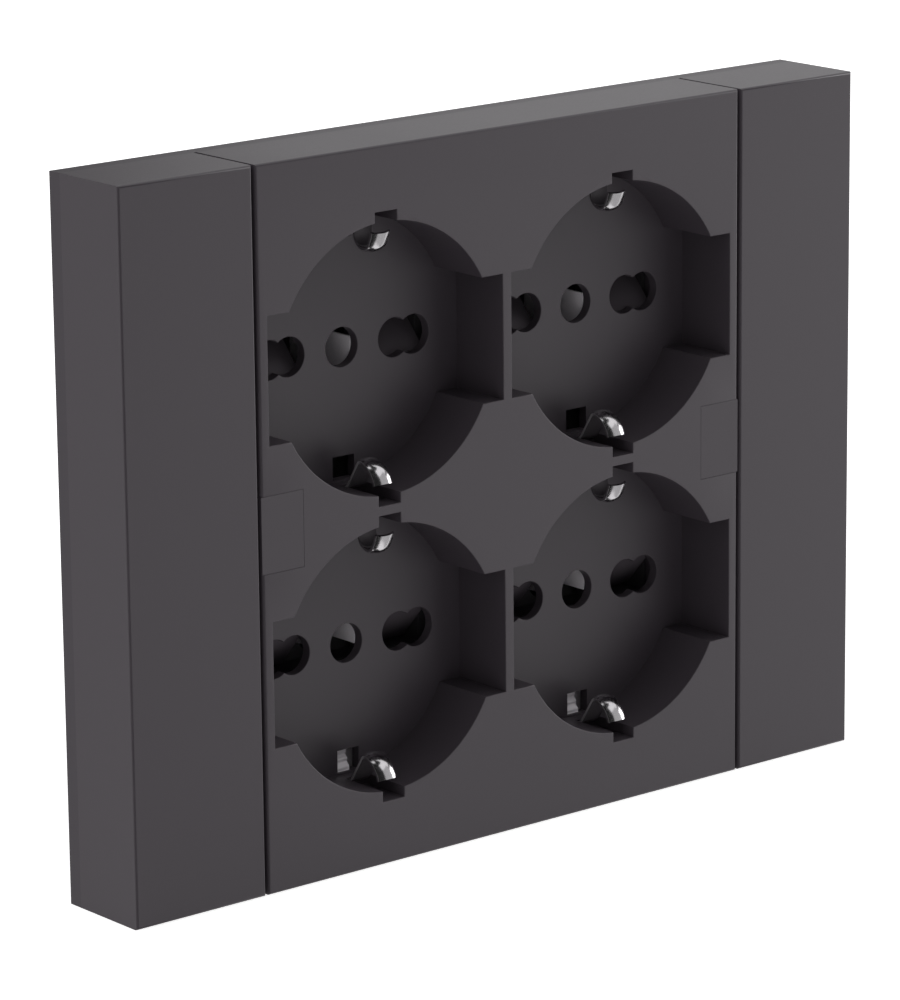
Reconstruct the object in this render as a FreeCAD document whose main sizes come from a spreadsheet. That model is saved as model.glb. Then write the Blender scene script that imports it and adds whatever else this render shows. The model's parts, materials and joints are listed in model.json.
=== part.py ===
import FreeCAD, Part
import Sketcher
import math
import os
import re

# A flush-mounted quadruple mains socket for a three-module wall box.
# Millimetres. +X runs to the right along the plate, +Y goes into the wall, +Z is up.
# The origin is the centre of the mounting frame's back, in the plane of the wall.

doc = FreeCAD.newDocument("quadruple_socket")
sheet = doc.addObject("Spreadsheet::Sheet", "sizes")

# Every size of the model, with what it measures. The rows become the cells of the sheet.
SIZES = (
    # the plate as seen on the wall
    ("plate_width", 134.6, "whole plate along X"),
    ("plate_height", 103.6, "whole plate along Z"),
    ("plate_depth", 15.5, "wall to front face"),
    ("panel_width", 88.8, "centre panel that carries the sockets"),
    ("panel_gap", 0.5, "shadow gap between the panel and each side trim"),
    ("edge_round", 0.4, "rounding of the outer front edges"),
    ("skin", 2.2, "front wall of the hollow mouldings"),
    ("side_wall", 2.0, "side walls of the hollow mouldings"),
    # one socket
    ("pitch_across", 43.6, "socket to socket along X"),
    ("pitch_down", 43.2, "socket to socket along Z"),
    ("well_radius", 19.45, "round recess for the plug"),
    ("well_depth", 10.35, "front face to the floor of the recess"),
    ("ear_reach", 21.0, "half the width of the recess at its side ears"),
    ("ear_height", 18.2, "height of the side ears"),
    ("notch_reach", 20.9, "socket centre to the end of the clip notch"),
    ("notch_width", 3.9, "clip notch and window in the floor"),
    ("notch_depth", 8.7, "front face to the bottom of the clip notch"),
    ("window_start", 15.7, "socket centre to the near edge of the floor window"),
    ("window_end", 19.1, "socket centre to the far edge of the floor window"),
    ("cup_wall", 1.7, "wall around each recess behind the front"),
    ("thin_floor", 1.5, "floor where the pins go through"),
    ("pin_near", 9.5, "pins of the 19 mm pattern from the socket centre"),
    ("pin_far", 13.0, "pins of the 26 mm pattern from the socket centre"),
    ("pin_hole", 2.85, "radius of each pin hole"),
    ("earth_hole", 2.85, "radius of the centre hole"),
    # box screws and the caps over them
    ("screw_pitch", 83.5, "box screws along X"),
    ("screw_hole", 2.0, "radius of the box screw holes"),
    ("cap_width", 7.3, "screw cap along X"),
    ("cap_height", 11.1, "screw cap along Z"),
    ("cap_wall", 1.2, "walls of the screw cap"),
    ("cap_slack", 0.1, "gap around the screw cap"),
    # mounting frame
    ("frame_depth", 2.4, "thickness of the mounting frame"),
    ("recess_floor", 1.1, "frame left behind the earth plate"),
    ("hook_width", 9.0, "snap hooks that hold panel and trims"),
    ("hook_thickness", 1.6, "snap hooks"),
    ("hook_height", 7.0, "snap hooks above the frame"),
    ("hook_place", 27.0, "panel hooks from the middle, along X"),
    ("trim_hook_place", 30.0, "trim hooks from the middle, along Z"),
    # earthing metal
    ("earth_sheet", 0.8, "earth plate thickness"),
    ("spine_width", 6.0, "middle strip of the earth plate"),
    ("bar_reach", 25.0, "half length of the cross bars of the earth plate"),
    ("bar_start", 14.6, "socket centre to the near edge of the outer bars"),
    ("arm_start", 13.4, "socket centre to the near edge of the fork arms"),
    ("arm_height", 3.0, "fork arms along Z"),
    ("clip_sheet", 0.4, "clip strip thickness"),
    ("clip_width", 3.3, "clip strip along X"),
    ("clip_tip", 1.4, "front face to the clip's tip"),
    ("clip_peak", 4.6, "front face to the clip's crest"),
    ("clip_crest", 15.27, "socket centre to the clip's crest"),
    ("clip_nose", 4.2, "bend radius from the tip to the crest"),
    ("clip_lead", 15.0, "angle of the strip where the nose meets the crest's bend"),
    ("clip_bend", 0.9, "bend radius at the crest"),
    ("clip_slope", 56.8, "angle of the flank behind the crest"),
    ("clip_foot_bend", 2.0, "bend radius at the wall"),
    ("leg_reach", 19.7, "socket centre to the clip's leg"),
    ("clip_foot", 3.6, "clip foot behind the earth plate"),
    ("foot_gap", 0.2, "between the feet of neighbouring clips"),
    ("slit_slack", 0.15, "gap around strips that pass through mouldings"),
    ("fork_gap", 5.5, "between the leaves of an earth fork"),
    ("fork_sheet", 0.4, "fork leaf thickness"),
    ("fork_top", 0.9, "earth fork past the socket centre"),
    ("fork_depth", 9.5, "wall plane to the rear of the forks"),
    ("fork_front", 3.45, "front lip of the fork before the wall plane"),
    ("fork_lip", 5.0, "front lip of the fork along Z"),
    ("fork_clear", 0.2, "between the shutter's room and the fork"),
    # shutters
    ("shutter_front", 3.6, "shutter face before the wall plane"),
    ("shutter_back", 2.4, "shutter back behind the wall plane"),
    ("shutter_lip", 0.8, "thickness at the thin end of the ramp"),
    ("shutter_inner", 6.5, "wings start from the socket centre"),
    ("shutter_outer", 15.95, "wings end from the socket centre"),
    ("shutter_cover", 3.2, "half height of the wings over the pin holes"),
    ("shutter_flat", 2.6, "start of the ramp from the socket centre"),
    ("shutter_tail", 2.6, "wings past the pin holes, on the bridge's side"),
    ("bridge_start", 4.3, "socket centre to the near side of the bar that joins the wings"),
    ("shutter_travel", 6.2, "shutter slide"),
    ("shutter_slack", 0.15, "gap around the shutter"),
    ("shutter_spare", 0.6, "room left at the end of the slide"),
    # shutter springs
    ("spring_radius", 1.5, "to the middle of the wire"),
    ("spring_wire", 0.35, "wire diameter"),
    ("spring_length", 8.2, "with the shutter closed"),
    ("spring_turns", 5.0, "coils"),
    ("spring_points", 12.0, "points of the helix in one turn"),
    ("spring_sides", 6.0, "flat sides of the wire's section"),
    ("spring_place", 0.55, "spring axis behind the wall plane"),
    ("spring_slack", 0.2, "gap around the spring"),
    # contact carrier and rear cover
    ("carrier_width", 77.2, "moulded carrier along X"),
    ("carrier_height", 54.6, "moulded carrier along Z"),
    ("carrier_back", 15.0, "wall plane to the carrier's back"),
    ("carrier_slack", 0.15, "gap between the carrier and the frame"),
    ("cover_back", 27.0, "wall plane to the rear cover's back"),
    ("cover_wall", 1.6, "rear cover walls"),
    # line and neutral metal
    ("contact_inner", 7.2, "pole contacts start from the socket centre"),
    ("contact_outer", 15.3, "pole contacts end from the socket centre"),
    ("contact_gap", 4.0, "between the leaves of a pole contact"),
    ("contact_sheet", 0.5, "pole contact thickness"),
    ("contact_front", 3.6, "wall plane to the front of the pole contacts"),
    ("contact_slack", 0.25, "gap around the contacts in the carrier"),
    ("bus_sheet", 0.8, "busbar thickness"),
    ("bus_width", 6.6, "busbar width"),
    ("link_height", 4.0, "line link along Z"),
    ("link_place", 14.0, "line link above the middle"),
    ("link_lift", 2.6, "line link behind the busbars"),
    ("insulator_margin", 3.0, "insulator past the crossing metal"),
    # terminals
    ("terminal_width", 7.0, "terminal block along X"),
    ("terminal_length", 13.0, "terminal block along Z"),
    ("terminal_depth", 7.6, "terminal block along Y"),
    ("terminal_offset", 3.4, "screw and wire from the block's middle"),
    ("earth_terminal_place", 16.0, "earth terminal below the middle"),
    ("wire_bore", 2.1, "radius of the wire bore"),
    ("wire_entry", 3.1, "radius of the wire entry in the cover"),
    ("driver_entry", 2.8, "radius of the screwdriver hole in the cover"),
    ("terminal_screw", 1.5, "terminal screw shank radius"),
    ("terminal_head", 2.3, "terminal screw head radius"),
    ("terminal_head_depth", 1.6, "terminal screw head"),
    # screws that hold the carrier to the panel and the cover to the carrier
    ("carrier_screw_place", 31.0, "outer carrier screws from the middle"),
    ("carrier_screw", 1.4, "carrier screw shank radius"),
    ("carrier_screw_head", 2.7, "carrier screw head radius"),
    ("carrier_screw_seat", 1.0, "wall plane to the seat of the screw heads"),
    ("carrier_screw_reach", 8.0, "screw tip before the wall plane"),
    ("cover_screw_place", 21.0, "cover screws from the middle"),
    ("cover_screw", 1.3, "cover screw shank radius"),
    ("cover_screw_head", 2.5, "cover screw head radius"),
    ("cover_screw_tip", 6.0, "wall plane to the cover screw's tip"),
    ("head_depth", 1.8, "carrier and cover screw heads"),
    ("boss_wall", 2.0, "wall of a screw boss"),
    ("slot_width", 0.7, "screwdriver slot"),
    ("slot_depth", 0.8, "screwdriver slot"),
    # tools
    ("overcut", 1.0, "how far a cutting body runs past an open face"),
)

for row, (alias, value, note) in enumerate(SIZES, start=1):
    sheet.set(f"A{row}", alias)
    sheet.set(f"B{row}", str(value))
    sheet.set(f"C{row}", note)
    sheet.setAlias(f"B{row}", alias)
doc.recompute()

SAME_PLANE = 1e-6
ALIASES = {alias for alias, value, note in SIZES}
NODES = {}


def size(alias):
    """The value of one cell of the sheet."""
    return float(sheet.get(alias))


def bind(thing, field, text):
    """Tie a property to an expression written with the sheet's names."""
    linked = re.sub(r"[a-z_]+", lambda m: "sizes." + m[0] if m[0] in ALIASES else m[0], str(text))
    thing.setExpression(field, linked)


def node(name, thing):
    """Register a finished sub-part under its own label."""
    thing.Label = name
    NODES[name] = thing
    return thing


def box(name, x, y, z):
    """A block from three (low, high) pairs of expressions."""
    block = doc.addObject("Part::Box", name)
    for side, axis, (low, high) in zip(("Length", "Width", "Height"), "xyz", (x, y, z)):
        bind(block, side, f"({high}) - ({low})")
        bind(block, f"Placement.Base.{axis}", low)
    return block


def rod(name, radius, x, z, y):
    """A cylinder along Y at (x, z) from y[0] to y[1]."""
    bar = doc.addObject("Part::Cylinder", name)
    bar.Placement.Rotation = FreeCAD.Rotation(FreeCAD.Vector(1, 0, 0), -90)
    bind(bar, "Radius", radius)
    bind(bar, "Height", f"({y[1]}) - ({y[0]})")
    for axis, place in zip("xyz", (x, y[0], z)):
        bind(bar, f"Placement.Base.{axis}", place)
    return bar


def join(name, things):
    """The union of several objects."""
    union = doc.addObject("Part::MultiFuse", name)
    union.Shapes = things
    union.Refine = True
    return union


def cut(name, base, things):
    """The base less the other objects."""
    rest = doc.addObject("Part::Cut", name)
    rest.Base = base
    rest.Tool = things[0] if len(things) == 1 else join(name + "_tools", things)
    rest.Refine = True
    return rest


def about(centre, half):
    """A (low, high) pair around a centre."""
    return f"({centre}) - ({half})", f"({centre}) + ({half})"


def ordered(sign, near, far):
    """A (low, high) pair from two distances on the side given by sign."""
    near, far = f"{sign} * ({near})", f"{sign} * ({far})"
    return (near, far) if sign > 0 else (far, near)


def shifted(centre, pair):
    """A (low, high) pair moved by a centre."""
    return tuple(f"({centre}) + ({end})" for end in pair)


def outward(up, centre, low, high):
    """A (low, high) pair along Z, counted from a socket's centre away from the plate's middle."""
    return shifted(centre, (low, high) if up > 0 else (f"-({high})", f"-({low})"))


# planes across the plate, front to back
FRONT = "-plate_depth"
FLOOR = "well_depth - plate_depth"
PIN_WALL = "well_depth + thin_floor - plate_depth"
PANEL_BACK = "-frame_depth"
PLATE_BACK = "earth_sheet - frame_depth"
FEET_BACK = "earth_sheet + clip_sheet - frame_depth"
CARRIER_FRONT = PLATE_BACK
BUS_BACK = "carrier_back + bus_sheet"
TERMINAL_BACK = "carrier_back + bus_sheet + terminal_depth"
LINK_BACK = "carrier_back + bus_sheet + link_lift"

# places along X and Z
TRIM_START = "panel_width / 2 + panel_gap"
TRIM_END = "plate_width / 2"
POLE_MIDDLE = "(contact_inner + contact_outer) / 2"
LINE_X = f"pitch_across / 2 + {POLE_MIDDLE}"
NEUTRAL_X = f"pitch_across / 2 - {POLE_MIDDLE}"
BUS_REACH = "pitch_down / 2 + contact_gap / 2 + contact_sheet"
STRAP_TOP = "contact_slack - earth_terminal_place + terminal_length / 2"

SCREWS = {"left": -1, "middle": 0, "right": 1}
TERMINALS = {
    "line": (f"-({LINE_X})", "0"),
    "neutral": ("0", "0"),
    "earth": ("0", "-earth_terminal_place"),
}

SOCKETS = {
    f"{'upper' if up > 0 else 'lower'}_{'right' if across > 0 else 'left'}": (across, up)
    for up in (1, -1)
    for across in (-1, 1)
}


def middle(across, up):
    """The centre of one socket on the plate."""
    return f"{across} * pitch_across / 2", f"{up} * pitch_down / 2"


def rounded_block(name, x_middle, z_middle, width, height, depth):
    """A block in front of the mounting frame with rounded edges on its face."""
    body = doc.addObject("PartDesign::Body", name)
    plane = next(f for f in body.Origin.OriginFeatures if f.Role == "XZ_Plane")
    sketch = body.newObject("Sketcher::SketchObject", name + "_outline")
    sketch.AttachmentSupport = (plane, [""])
    sketch.MapMode = "FlatFace"
    bind(sketch, "AttachmentOffset.Base.x", x_middle)
    bind(sketch, "AttachmentOffset.Base.y", z_middle)
    bind(sketch, "AttachmentOffset.Base.z", "frame_depth")
    draw_rectangle(sketch, width, height)
    pad = body.newObject("PartDesign::Pad", name + "_pad")
    pad.Profile = sketch
    bind(pad, "Length", depth)
    doc.recompute()
    face_y = pad.Shape.BoundBox.YMin
    rim = [
        f"Edge{number}"
        for number, edge in enumerate(pad.Shape.Edges, start=1)
        if max(abs(edge.BoundBox.YMin - face_y), abs(edge.BoundBox.YMax - face_y)) < SAME_PLANE
    ]
    fillet = body.newObject("PartDesign::Fillet", name + "_edges")
    fillet.Base = (pad, rim)
    bind(fillet, "Radius", "edge_round")
    body.Tip = fillet
    doc.recompute()
    return body


def draw_rectangle(sketch, width, height):
    """A rectangle centred on the sketch's origin with bound width and height."""
    half = 1.0
    corners = [FreeCAD.Vector(x * half, y * half, 0) for x, y in ((-1, -1), (1, -1), (1, 1), (-1, 1))]
    for start, end in zip(corners, corners[1:] + corners[:1]):
        sketch.addGeometry(Part.LineSegment(start, end), False)
    for line in range(4):
        sketch.addConstraint(Sketcher.Constraint("Coincident", line, 2, (line + 1) % 4, 1))
    for line, kind in enumerate(("Horizontal", "Vertical", "Horizontal", "Vertical")):
        sketch.addConstraint(Sketcher.Constraint(kind, line))
    sketch.addConstraint(Sketcher.Constraint("Symmetric", 0, 1, 1, 2, -1, 1))
    for label, kind, line, value in (("width", "DistanceX", 0, width), ("height", "DistanceY", 1, height)):
        index = sketch.addConstraint(Sketcher.Constraint(kind, line, 1, line, 2, 2 * half))
        sketch.renameConstraint(index, label)
        bind(sketch, f"Constraints.{label}", value)


def well(name, across, up):
    """The space of one plug recess with its ears, clip notches, windows, slits and pin holes."""
    x, z = middle(across, up)
    front, floor = f"{FRONT} - overcut", FLOOR
    spaces = [
        rod(f"{name}_round", "well_radius", x, z, (front, floor)),
        box(f"{name}_ears", about(x, "ear_reach"), (front, floor), about(z, "ear_height / 2")),
        box(
            f"{name}_notches",
            about(x, "notch_width / 2"),
            (front, "notch_depth - plate_depth"),
            about(z, "notch_reach"),
        ),
        rod(f"{name}_earth_hole", "earth_hole", x, z, (floor, PANEL_BACK)),
        box(
            f"{name}_shutter_room",
            about(x, "shutter_outer + shutter_slack"),
            (PIN_WALL, PANEL_BACK),
            shutter_room(up, z),
        ),
    ]
    for side in (-1, 1):
        spaces.append(
            box(
                f"{name}_window",
                about(x, "notch_width / 2"),
                (floor, PANEL_BACK),
                shifted(z, ordered(side, "window_start", "window_end")),
            )
        )
        spaces.append(
            box(
                f"{name}_slit",
                about(x, "clip_width / 2 + slit_slack"),
                ("notch_depth - plate_depth - overcut", PANEL_BACK),
                shifted(z, ordered(side, "leg_reach - slit_slack", "leg_reach + clip_sheet + slit_slack")),
            )
        )
        for place in ("pin_near", "pin_far"):
            spaces.append(
                rod(f"{name}_pin_hole", "pin_hole", f"({x}) + {side} * {place}", z, (floor, PIN_WALL))
            )
    return join(f"{name}_space", spaces)


def shutter_room(up, z):
    """The stretch along Z that a shutter needs over its whole slide."""
    outer = "shutter_cover + shutter_slack"
    inner = "shutter_cover + shutter_tail + shutter_travel + shutter_slack + shutter_spare"
    return outward(up, z, f"-({inner})", outer)


def cup(name, across, up):
    """The outside of the wall around one recess."""
    x, z = middle(across, up)
    depth = (FRONT, PANEL_BACK)
    return join(
        f"{name}_cup",
        [
            rod(f"{name}_cup_round", "well_radius + cup_wall", x, z, depth),
            box(
                f"{name}_cup_ears",
                about(x, "ear_reach + cup_wall"),
                depth,
                about(z, "ear_height / 2 + cup_wall"),
            ),
            box(
                f"{name}_cup_notches",
                about(x, "notch_width / 2 + cup_wall"),
                depth,
                about(z, "notch_reach + cup_wall"),
            ),
        ],
    )


def make_front_panel():
    """One hollow moulding: face, four recess cups, three screw bosses and two cap wells."""
    blank = rounded_block("panel_blank", "0", "0", "panel_width", "plate_height", "plate_depth - frame_depth")
    keep = [cup(name, *place) for name, place in SOCKETS.items()]
    away = [well(name, *place) for name, place in SOCKETS.items()]
    for name, side in SCREWS.items():
        x = f"{side} * carrier_screw_place"
        keep.append(rod(f"boss_{name}", "carrier_screw + boss_wall", x, "0", (FRONT, PANEL_BACK)))
        away.append(rod(f"boss_bore_{name}", "carrier_screw", x, "0", ("-carrier_screw_reach", PANEL_BACK)))
    for side in (-1, 1):
        edge = ordered(side, "panel_width / 2 - cap_width", "panel_width / 2 + overcut")
        wall = ordered(side, "panel_width / 2 - cap_width - cup_wall", "panel_width / 2")
        keep.append(box("cap_wall", wall, (FRONT, PANEL_BACK), about("0", "cap_height / 2 + cup_wall")))
        through = (f"{FRONT} - overcut", f"{PANEL_BACK} + overcut")
        away.append(box("cap_well", edge, through, about("0", "cap_height / 2")))
    room = box(
        "panel_room",
        about("0", "panel_width / 2 - side_wall"),
        (f"{FRONT} + skin", PANEL_BACK),
        about("0", "plate_height / 2 - side_wall"),
    )
    hollow = cut("panel_hollow", room, keep)
    return node("front_panel", cut("front_panel", blank, [hollow] + away))


def make_trims():
    """Two plain hollow side trims."""
    for name, side in (("left", -1), ("right", 1)):
        blank = rounded_block(
            f"trim_{name}_blank",
            f"{side} * (({TRIM_START}) + ({TRIM_END})) / 2",
            "0",
            f"({TRIM_END}) - ({TRIM_START})",
            "plate_height",
            "plate_depth - frame_depth",
        )
        room = box(
            f"trim_{name}_room",
            ordered(side, f"{TRIM_START} + side_wall", f"{TRIM_END} - side_wall"),
            (f"{FRONT} + skin", f"{PANEL_BACK} + overcut"),
            about("0", "plate_height / 2 - side_wall"),
        )
        node(f"trim_{name}", cut(f"trim_{name}", blank, [room]))


def make_caps():
    """Two hollow caps that stand on the frame over the box screws."""
    for name, side in (("left", -1), ("right", 1)):
        near, far = "panel_width / 2 - cap_width + cap_slack", "panel_width / 2"
        solid = box(
            f"cap_{name}_solid",
            ordered(side, near, far),
            (FRONT, PANEL_BACK),
            about("0", "cap_height / 2 - cap_slack"),
        )
        room = box(
            f"cap_{name}_room",
            ordered(side, f"{near} + cap_wall", f"{far} + overcut"),
            (f"{FRONT} + skin", f"{PANEL_BACK} + overcut"),
            about("0", "cap_height / 2 - cap_slack - cap_wall"),
        )
        node(f"screw_cap_{name}", cut(f"screw_cap_{name}", solid, [room]))


def make_mounting_frame():
    """The frame that is screwed to the wall box, with snap hooks for panel and trims."""
    slab = box(
        "frame_slab",
        about("0", "plate_width / 2"),
        (PANEL_BACK, "0"),
        about("0", "plate_height / 2"),
    )
    solids = [slab]
    away = [
        box(
            "frame_window",
            about("0", "carrier_width / 2 + carrier_slack"),
            (f"{PANEL_BACK} - overcut", "overcut"),
            about("0", "carrier_height / 2 + carrier_slack"),
        ),
        box(
            "spine_recess",
            about("0", "spine_width / 2 + slit_slack"),
            (f"{PANEL_BACK} - overcut", "-recess_floor"),
            about("0", "pitch_down / 2 + leg_reach"),
        ),
    ]
    for side in (-1, 1):
        away.append(
            box(
                "bar_recess",
                about("0", "bar_reach + slit_slack"),
                (f"{PANEL_BACK} - overcut", "-recess_floor"),
                ordered(
                    side,
                    "pitch_down / 2 + bar_start - slit_slack",
                    "pitch_down / 2 + leg_reach + clip_sheet + slit_slack",
                ),
            )
        )
        through = (f"{PANEL_BACK} - overcut", "overcut")
        away.append(rod("screw_hole", "screw_hole", f"{side} * screw_pitch / 2", "0", through))
        hook_depth = (f"{PANEL_BACK} - hook_height", PANEL_BACK)
        for end in (-1, 1):
            wall = "plate_height / 2 - side_wall"
            solids.append(
                box(
                    "panel_hook",
                    about(f"{end} * hook_place", "hook_width / 2"),
                    hook_depth,
                    ordered(side, f"{wall} - hook_thickness", wall),
                )
            )
            trim_wall = f"{TRIM_END} - side_wall"
            solids.append(
                box(
                    "trim_hook",
                    ordered(side, f"{trim_wall} - hook_thickness", trim_wall),
                    hook_depth,
                    about(f"{end} * trim_hook_place", "hook_width / 2"),
                )
            )
    base = join("frame_solid", solids)
    node("mounting_frame", cut("mounting_frame", base, away))


def make_earth_plate():
    """One stamped sheet: spine, three cross bars and four arms for the forks."""
    depth = (PANEL_BACK, PLATE_BACK)
    outer, inner = "pitch_down / 2 + leg_reach", "pitch_down / 2 - leg_reach - clip_sheet"
    strips = [
        box("spine", about("0", "spine_width / 2"), depth, about("0", outer)),
        box("middle_bar", about("0", "bar_reach"), depth, about("0", inner)),
    ]
    for side in (-1, 1):
        arm = ordered(side, "pitch_down / 2 - arm_start - arm_height", "pitch_down / 2 - arm_start")
        bar = ordered(side, "pitch_down / 2 + bar_start", outer)
        strips.append(box("outer_bar", about("0", "bar_reach"), depth, bar))
        strips.append(box("fork_arm", about("0", "bar_reach"), depth, arm))
    through = (f"{PANEL_BACK} - overcut", f"{PLATE_BACK} + overcut")
    hole = rod("plate_hole", "carrier_screw + cap_slack", "0", "0", through)
    node("earth_plate", cut("earth_plate", join("earth_strips", strips), [hole]))


def clip_point(depth, reach):
    """A point on the strip's left edge, from the plate's face and the socket's centre."""
    return FreeCAD.Vector(-size("clip_width") / 2, depth - size("plate_depth"), reach)


def clip_turn(angle, radius, depth, reach):
    """A point on a bend around (depth, reach), at an angle behind the crest."""
    return clip_point(depth + radius * math.sin(angle), reach - radius * math.cos(angle))


def foot_front():
    """The plane of the earth plate's back, where the clip feet lie."""
    return size("earth_sheet") - size("frame_depth")


def clip_profile():
    """The clip's strip as a face in the plane of depth (along Y) and reach (along Z)."""
    tip, peak, crest = size("clip_tip"), size("clip_peak"), size("clip_crest")
    nose, bend = size("clip_nose"), size("clip_bend")
    lead, slope = math.radians(size("clip_lead")), math.radians(size("clip_slope"))
    foot_bend, leg, strip = size("clip_foot_bend"), size("leg_reach"), size("clip_sheet")
    nose_depth = peak + (nose - bend) * math.sin(lead)
    nose_reach = crest + bend + (nose - bend) * math.cos(lead)
    tip_turn = math.asin((nose_depth - tip) / nose)
    start = clip_turn(-tip_turn, nose, nose_depth, nose_reach)
    mid_nose = clip_turn(-(tip_turn + lead) / 2, nose, nose_depth, nose_reach)
    nose_end = clip_turn(-lead, bend, peak, crest + bend)
    top = clip_point(peak, crest)
    flank = clip_turn(slope, bend, peak, crest + bend)
    drop = leg - foot_bend * (1 - math.cos(slope)) - (crest + bend - bend * math.cos(slope))
    flank_end = flank + FreeCAD.Vector(0, drop / math.tan(slope), drop)
    centre = flank_end + FreeCAD.Vector(0, math.sin(slope), -math.cos(slope)) * foot_bend
    mid_foot = centre + FreeCAD.Vector(0, -math.sin(slope / 2), math.cos(slope / 2)) * foot_bend
    leg_start = centre + FreeCAD.Vector(0, 0, foot_bend)
    leg_end = clip_point(size("plate_depth") + foot_front() + strip, leg)
    surface = Part.Wire(
        [
            Part.Arc(start, mid_nose, nose_end).toShape(),
            Part.Arc(nose_end, top, flank).toShape(),
            Part.LineSegment(flank, flank_end).toShape(),
            Part.Arc(flank_end, mid_foot, leg_start).toShape(),
            Part.LineSegment(leg_start, leg_end).toShape(),
        ]
    )
    return surface.makeOffset2D(-strip, join=0, fill=True, openResult=True)


def make_clip(name, across, up, side):
    """A bent earth clip, its leg through the slit and its foot behind the earth plate."""
    x = across * size("pitch_across") / 2
    z = up * size("pitch_down") / 2
    width, strip, leg = size("clip_width"), size("clip_sheet"), size("leg_reach")
    face = clip_profile()
    bent = face.extrude(FreeCAD.Vector(width, 0, 0))
    towards_middle = side * up < 0
    foot_low = leg if towards_middle else leg + strip - size("clip_foot")
    foot_long = size("pitch_down") / 2 - leg - size("foot_gap") / 2 if towards_middle else size("clip_foot")
    foot = Part.makeBox(width, strip, foot_long, FreeCAD.Vector(-width / 2, foot_front(), foot_low))
    solid = bent.fuse(foot).removeSplitter()
    if side < 0:
        solid = solid.mirror(FreeCAD.Vector(0, 0, 0), FreeCAD.Vector(0, 0, 1))
    clip = doc.addObject("Part::Feature", name)
    clip.Shape = solid
    clip.Placement = FreeCAD.Placement(FreeCAD.Vector(x, 0, z), FreeCAD.Rotation())
    node(name, clip)


def make_fork(name, across, up):
    """An earth fork: two leaves at the centre hole, joined by a back strip beyond the shutter."""
    x, z = middle(across, up)
    half, strip = "fork_gap / 2", "fork_sheet"
    reach = "arm_start + arm_height"
    back = ("shutter_back + shutter_slack + fork_clear", "fork_depth")
    pieces = []
    for side in (-1, 1):
        leaf = shifted(x, ordered(side, half, f"{half} + {strip}"))
        lip = outward(up, z, "fork_top - fork_lip", "fork_top")
        tail = outward(up, z, f"-({reach})", "-arm_start")
        pieces += [
            box("fork_leaf", leaf, back, outward(up, z, f"-({reach})", "fork_top")),
            box("fork_lip", leaf, ("-fork_front", "fork_depth"), lip),
            box("fork_tail", leaf, (PLATE_BACK, "fork_depth"), tail),
        ]
    pieces.append(
        box(
            "fork_web",
            about(x, f"{half} + {strip}"),
            back,
            outward(up, z, f"-({reach})", f"{strip} - ({reach})"),
        )
    )
    node(name, join(name, pieces))


def make_shutter(name, across, up):
    """A sliding shutter: a ramp behind each pair of pin holes and a bridge on the inner side."""
    x, z = middle(across, up)
    near, far = "shutter_cover + shutter_tail", "shutter_cover"
    pieces = []
    for side in (-1, 1):
        wing = shifted(x, ordered(side, "shutter_inner", "shutter_outer"))
        ramp = doc.addObject("Part::Wedge", "shutter_ramp")
        front = outward(up, z, f"-({near})", "-shutter_flat")
        rear = outward(up, z, f"-({near})", far)
        bind(ramp, "Ymin", "-shutter_front")
        bind(ramp, "Ymax", "shutter_back - shutter_lip")
        for field, value in zip(("Xmin", "Xmax", "X2min", "X2max"), wing + wing):
            bind(ramp, field, value)
        for field, value in zip(("Zmin", "Zmax", "Z2min", "Z2max"), front + rear):
            bind(ramp, field, value)
        pieces.append(ramp)
        pieces.append(box("shutter_lip", wing, ("shutter_back - shutter_lip", "shutter_back"), rear))
    bridge = outward(up, z, f"-({near})", "-bridge_start")
    pieces.append(
        box("shutter_bridge", about(x, "shutter_inner"), (PANEL_BACK, "shutter_back"), bridge)
    )
    node(name, join(name, pieces))


def polar(radius, share):
    """The two coordinates of a point on a circle, share being the part of a full turn."""
    return radius * math.cos(2 * math.pi * share), radius * math.sin(2 * math.pi * share)


def make_coil():
    """A helix through points at even steps, swept with a section of a few flat sides."""
    height = size("spring_length") - size("spring_wire")
    turns, per_turn, sides = size("spring_turns"), round(size("spring_points")), round(size("spring_sides"))
    steps = round(turns * per_turn)
    points = [
        FreeCAD.Vector(*polar(size("spring_radius"), step / per_turn), height * step / steps)
        for step in range(steps + 1)
    ]
    curve = Part.BSplineCurve()
    curve.interpolate(points)
    out = FreeCAD.Vector(1, 0, 0)
    up = curve.tangent(curve.FirstParameter)[0].cross(out)
    corners = []
    for corner in range(sides + 1):
        along_out, along_up = polar(size("spring_wire") / 2, corner / sides)
        corners.append(points[0] + out * along_out + up * along_up)
    return Part.Wire(curve.toShape()).makePipeShell([Part.makePolygon(corners)], True, True)


def make_spring(name, across, up):
    """A coil spring between the shutter's bridge and the carrier."""
    half_wire, length = size("spring_wire") / 2, size("spring_length")
    start = size("shutter_cover") + size("shutter_tail")
    low = -start - length + half_wire if up > 0 else start + half_wire
    spring = doc.addObject("Part::Feature", name)
    spring.Shape = make_coil()
    place = FreeCAD.Vector(
        across * size("pitch_across") / 2, size("spring_place"), up * size("pitch_down") / 2 + low
    )
    spring.Placement = FreeCAD.Placement(place, FreeCAD.Rotation())
    node(name, spring)


def pole_x(across, side):
    """The outer holes of both columns are line, the inner ones neutral."""
    return shifted(f"{across} * pitch_across / 2", ordered(side, "contact_inner", "contact_outer"))


def make_pole_contact(name, across, up, side):
    """A folded contact: two leaves over and under the pins and a base at the busbar."""
    z = f"{up} * pitch_down / 2"
    x = pole_x(across, side)
    half = "contact_gap / 2"
    depth = ("contact_front", "carrier_back")
    pieces = [
        box("contact_leaf", x, depth, shifted(z, ordered(lean, half, f"{half} + contact_sheet")))
        for lean in (-1, 1)
    ]
    base = ("carrier_back - contact_sheet", "carrier_back")
    pieces.append(box("contact_base", x, base, about(z, f"{half} + contact_sheet")))
    node(name, join(name, pieces))


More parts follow.
